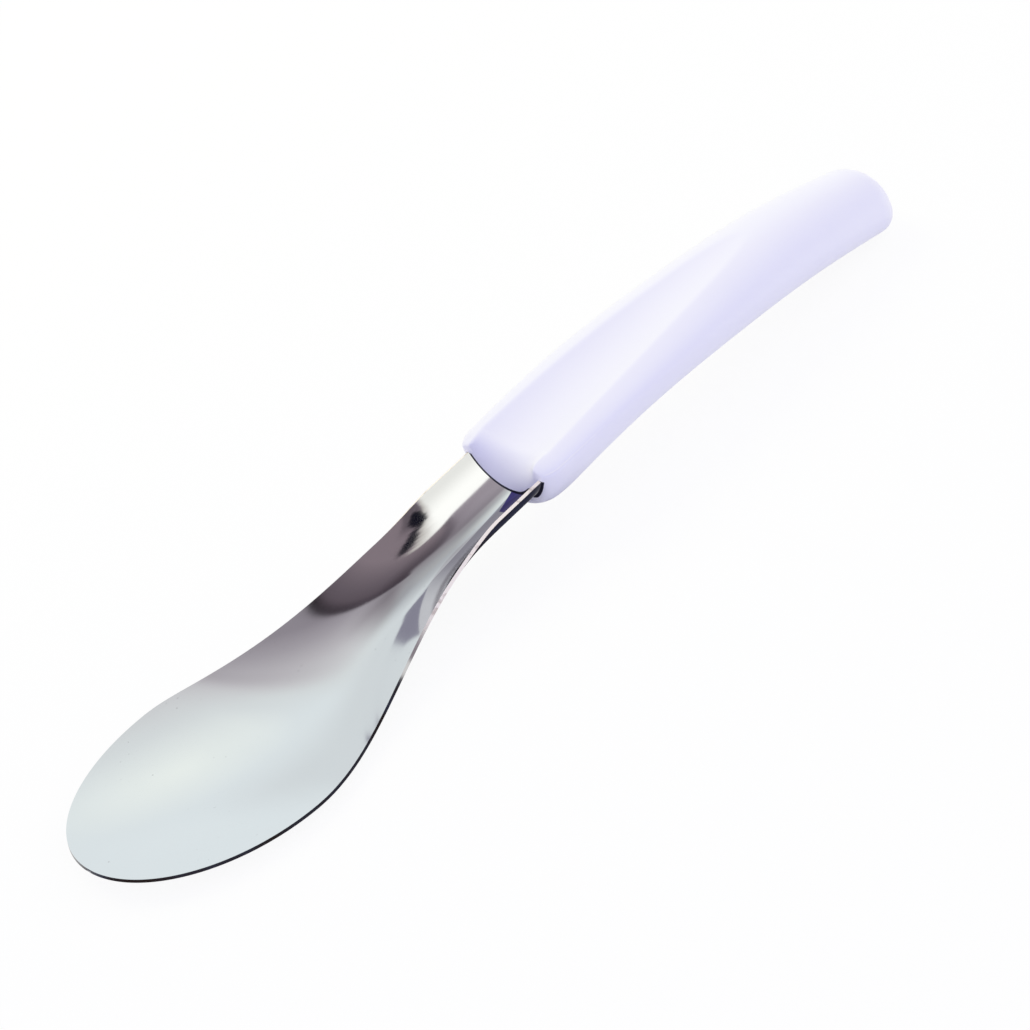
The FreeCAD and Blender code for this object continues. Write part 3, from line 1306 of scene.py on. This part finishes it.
@dataclass(frozen=True)
class Hood:
    """The dark hood over the shoulder, its black hem, and the grey board beside it.

    Places and edges are as on the wall. The hem's height is a curve over u.
    """

    hem_height: float = 0.16
    hem_climb: float = 0.9
    hem_sag: float = 2.2
    hem_start: float = -0.09
    hem_width: float = 0.25
    hem_dark: Colour = (0.005, 0.003, 0.004)
    hem_pale: Colour = (0.12, 0.095, 0.12)
    hem_edge: Edge = (0.03, 0.045)
    cloth_depth: float = 0.3
    cloth_shades: Stops = (
        (0.0, (0.09, 0.07, 0.085)),
        (0.3, (0.13, 0.105, 0.125)),
        (1.0, (0.235, 0.19, 0.215)),
    )
    cloth_edge: Edge = (0.0, 0.012)
    cloth_right: Edge = (0.165, 0.012)
    fold_left: Edge = (0.05, 0.03)
    fold_top: Edge = (-0.35, 0.2)
    fold_share: float = 0.7
    fold_tint: Colour = (0.085, 0.07, 0.085)
    board_foot: float = -0.1
    board_height: float = 0.4
    board_shades: Stops = (
        (0.0, (0.35, 0.31, 0.35)),
        (0.65, (0.38, 0.345, 0.385)),
        (1.0, (0.47, 0.455, 0.49)),
    )
    board_left: Edge = (0.165, 0.012)
    board_top: Edge = (0.22, 0.05)
    line_place: float = 0.168
    line_edge: Edge = (0.006, 0.006)
    line_top: Edge = (0.2, 0.04)
    line_share: float = 0.8
    line_tint: Colour = (0.085, 0.065, 0.085)

    def colour(
        self, nodes: NodeTree, colour: bpy.types.NodeSocket, u: Value, v: Value
    ) -> bpy.types.NodeSocket:
        """Lay the hood and the board over the chart.

        Args:
            nodes: The world's tree.
            colour: The chart's colour so far.
            u: The place to the east.
            v: The place to the north.

        Returns:
            The colour there.
        """
        depth = (u * self.hem_climb - u * u * self.hem_sag + self.hem_height) - v
        paler = ((u - self.hem_start) / self.hem_width).clamp()
        hem_tint = nodes.mix(paler, self.hem_dark, self.hem_pale)
        cloth = nodes.ramp((depth / self.cloth_depth).clamp(), self.cloth_shades)
        fold = u.above(*self.fold_left) * v.below(*self.fold_top)
        cloth = nodes.mix(fold * self.fold_share, cloth, self.fold_tint)
        cloth = nodes.mix(depth.below(*self.hem_edge), cloth, hem_tint)
        hood = depth.above(*self.cloth_edge) * u.below(*self.cloth_right)
        colour = nodes.mix(hood, colour, cloth)
        height = ((v - self.board_foot) / self.board_height).clamp()
        board = u.above(*self.board_left) * v.below(*self.board_top)
        colour = nodes.mix(board, colour, nodes.ramp(height, self.board_shades))
        line = abs(u - self.line_place).below(*self.line_edge) * v.below(*self.line_top)
        return nodes.mix(line * self.line_share, colour, self.line_tint)


@dataclass(frozen=True)
class Flag:
    """A black flag at the window's edge, an oval on the chart."""

    u: float
    v: float
    half_u: float
    half_v: float


@dataclass(frozen=True)
class Window:
    """The bright window that the neck mirrors, with two ragged black flags at its edge.

    Places and edges are as on the wall.
    """

    left: Edge = (0.118, 0.012)
    left_lean: float = 0.15
    left_bend: float = 0.27
    left_rag: float = 0.03
    sill: Edge = (-0.02, 0.02)
    sill_turn: float = 0.13
    sill_slope: float = 2.0
    pane_edge: Edge = (-0.5, 0.4)
    pane_tint: Colour = (1.12, 1.12, 1.08)
    low_tint: Colour = (0.88, 0.88, 0.845)
    frame_edge: Edge = (0.02, 0.05)
    frame_tint: Colour = (0.50, 0.47, 0.44)
    rag_grain: float = 26.0
    rag_detail: float = 5.0
    flags: tuple[Flag, ...] = (Flag(0.12, -0.46, 0.037, 0.15), Flag(0.1, -0.19, 0.016, 0.13))
    flag_rag: float = 1.2
    flag_edge: Edge = (1.0, 0.3)
    flag_tint: Colour = (0.004, 0.004, 0.01)

    def colour(
        self,
        nodes: NodeTree,
        colour: bpy.types.NodeSocket,
        u: Value,
        v: Value,
        direction: bpy.types.NodeSocket,
    ) -> bpy.types.NodeSocket:
        """Lay the window and its flags over the chart.

        Args:
            nodes: The world's tree.
            colour: The chart's colour so far.
            u: The place to the east.
            v: The place to the north.
            direction: The direction looked in, which makes the edges ragged.

        Returns:
            The colour there.
        """
        ragged = nodes.noise(direction, self.rag_grain, self.rag_detail) - 0.5
        left, left_fade = self.left
        edge = (-v - self.left_bend).at_least(0.0) * self.left_lean + left
        across = u - edge + ragged * self.left_rag
        sill, sill_fade = self.sill
        top = (u - self.sill_turn).at_least(0.0) * -self.sill_slope + sill
        opening = across.above(0.0, left_fade) * v.below(top, sill_fade)
        pane = nodes.mix(v.below(*self.pane_edge), self.pane_tint, self.low_tint)
        light = nodes.mix(across.above(*self.frame_edge), self.frame_tint, pane)
        colour = nodes.mix(opening, colour, light)
        for flag in self.flags:
            du = (u - flag.u) / flag.half_u
            dv = (v - flag.v) / flag.half_v
            reach = (du * du + dv * dv) ** 0.5 + ragged * self.flag_rag
            colour = nodes.mix(reach.below(*self.flag_edge), colour, self.flag_tint)
        return colour


@dataclass(frozen=True)
class Lamp:
    """One soft square lamp that aims at the object and isn't mirrored."""

    name: str
    place: Triple
    size: float
    power: float
    tint: Colour

    def build(self) -> None:
        """Add the lamp to the scene."""
        light = bpy.data.lights.new(self.name, "AREA")
        light.size = self.size
        light.energy = self.power
        light.color = self.tint
        lamp = bpy.data.objects.new(self.name, light)
        bpy.context.scene.collection.objects.link(lamp)
        lamp.location = self.place
        lamp.rotation_euler = Vector(self.place).to_track_quat("Z", "Y").to_euler()
        lamp.visible_glossy = False


@dataclass(frozen=True)
class Studio:
    """The plain pale studio: white floor, soft lamps, and the fields that the steel mirrors."""

    floor_size: float = 6.0
    floor_tint: Colour = (0.92, 0.92, 0.93)
    floor_glow: float = 0.92
    air: Colour = (0.71, 0.71, 0.95)
    second_tint: Colour = (0.63, 0.635, 0.67)
    least_chart: float = 0.05
    mirrored_floor_shadow: MirroredFloorShadow = MirroredFloorShadow()
    wall: Wall = Wall()
    hood: Hood = Hood()
    window: Window = Window()
    lamps: tuple[Lamp, ...] = (
        Lamp("key", (0.0, 0.85, 0.85), 0.7, 5.2, (1.0, 1.0, 0.25)),
        Lamp("fill", (0.85, -0.25, 0.55), 0.5, 1.5, (1.0, 1.0, 0.35)),
    )
    camera_place: Triple = (-0.3482, -0.5241, 0.4626)
    camera_right: Triple = (0.6802, -0.6838, -0.2641)
    camera_up: Triple = (0.5808, 0.2828, 0.7633)
    lens: float = 120.0
    sensor: float = 36.0
    nearest: float = 0.01

    def build(self) -> None:
        """Make the floor, the world, the lamps and the camera."""
        self.floor()
        self.world()
        for lamp in self.lamps:
            lamp.build()
        self.camera()

    def floor(self) -> None:
        """A white floor that keeps a faint shadow, with a painted shadow under the steel for the
        steel to mirror.
        """
        bpy.ops.mesh.primitive_plane_add(size=self.floor_size, location=(0.0, 0.0, 0.0))
        floor = bpy.context.object
        floor.name = "floor"
        paint = bpy.data.materials.new("floor_paint")
        nodes = NodeTree(paint)
        seen, mirrored, again = self.rays(nodes)
        # Painted shadow under the steel, seen only by mirror rays.
        card = self.mirrored_floor_shadow.colour(nodes, nodes.place())
        card = nodes.mix(again, card, self.second_tint)
        glow_tint = nodes.mix(mirrored, WHITE, card)
        matt = nodes.add("ShaderNodeBsdfDiffuse", {}, {"Color": self.floor_tint})
        glow = nodes.add("ShaderNodeEmission", {}, {"Color": glow_tint, "Strength": 1.0})
        share = seen * self.floor_glow + mirrored
        inputs = {0: share, 1: matt.outputs[0], 2: glow.outputs[0]}
        both = nodes.add("ShaderNodeMixShader", {}, inputs)
        nodes.add("ShaderNodeOutputMaterial", {}, {"Surface": both.outputs[0]})
        floor.data.materials.append(paint)

    @staticmethod
    def rays(nodes: NodeTree) -> tuple[Value, Value, Value]:
        """Masks of three kinds of rays.

        Args:
            nodes: The tree of the floor or the world.

        Returns:
            The rays from the eye, from a mirror, and from a mirror in a mirror.
        """
        path = nodes.add("ShaderNodeLightPath", {}, {})
        seen = Value(nodes, path.outputs["Is Camera Ray"])
        matt = Value(nodes, path.outputs["Diffuse Depth"]).clamp()
        mirrored = Value(nodes, path.outputs["Is Glossy Ray"]) * (1.0 - matt)
        again = Value(nodes, path.outputs["Glossy Depth"]).above(1.5, 0.5)
        return seen, mirrored, again

    def world(self) -> None:
        """Even air for matt surfaces, white for the eye, and the studio's cards for the steel."""
        world = bpy.data.worlds.new("studio")
        bpy.context.scene.world = world
        nodes = NodeTree(world)
        direction = nodes.add("ShaderNodeTexCoord", {}, {}).outputs["Generated"]
        seen, mirrored, again = self.rays(nodes)
        cards = nodes.mix(again, self.cards(nodes, direction), self.second_tint)
        colour = nodes.mix(mirrored, self.air, cards)
        colour = nodes.mix(seen, colour, WHITE)
        light = nodes.add("ShaderNodeBackground", {}, {"Color": colour, "Strength": 1.0})
        nodes.add("ShaderNodeOutputWorld", {}, {"Surface": light.outputs[0]})

    def cards(self, nodes: NodeTree, direction: bpy.types.NodeSocket) -> bpy.types.NodeSocket:
        """The studio as the steel mirrors it, laid out on a flat chart of the sky.

        Args:
            nodes: The world's tree.
            direction: The direction looked in.

        Returns:
            The colour seen in that direction.
        """
        east, north, up = nodes.xyz(direction)
        chart = (up + 1.0).at_least(self.least_chart)
        u = east / chart
        v = north / chart
        colour = self.wall.colour(nodes, u, v)
        colour = self.hood.colour(nodes, colour, u, v)
        return self.window.colour(nodes, colour, u, v, direction)

    def camera(self) -> None:
        """The camera at the photograph's viewing angle."""
        lens = bpy.data.cameras.new("camera")
        lens.lens = self.lens
        lens.sensor_width = self.sensor
        lens.clip_start = self.nearest
        eye = bpy.data.objects.new("camera", lens)
        bpy.context.scene.collection.objects.link(eye)
        right = Vector(self.camera_right).normalized()
        back = right.cross(Vector(self.camera_up)).normalized()
        up = back.cross(right)
        turn = Matrix((right, up, back)).transposed().to_4x4()
        eye.matrix_world = Matrix.Translation(Vector(self.camera_place)) @ turn
        bpy.context.scene.camera = eye


def main() -> None:
    """Build the spatula and its studio."""
    logging.basicConfig(level=logging.INFO, format="%(message)s")
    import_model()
    bpy.context.scene.view_settings.view_transform = "Standard"

    sheet = PressedSheet()
    blade = sheet.build()
    sheet.dress(blade, PolishedSteel(), CutEdge())
    LOG.info("%s: %d faces", blade.name, len(blade.data.polygons))

    grip = Grip()
    handle = grip.build()
    grip.dress(handle, WhitePlastic(), sheet)
    LOG.info("%s: %d faces", handle.name, len(handle.data.polygons))

    Studio().build()


if __name__ == "__main__":
    main()
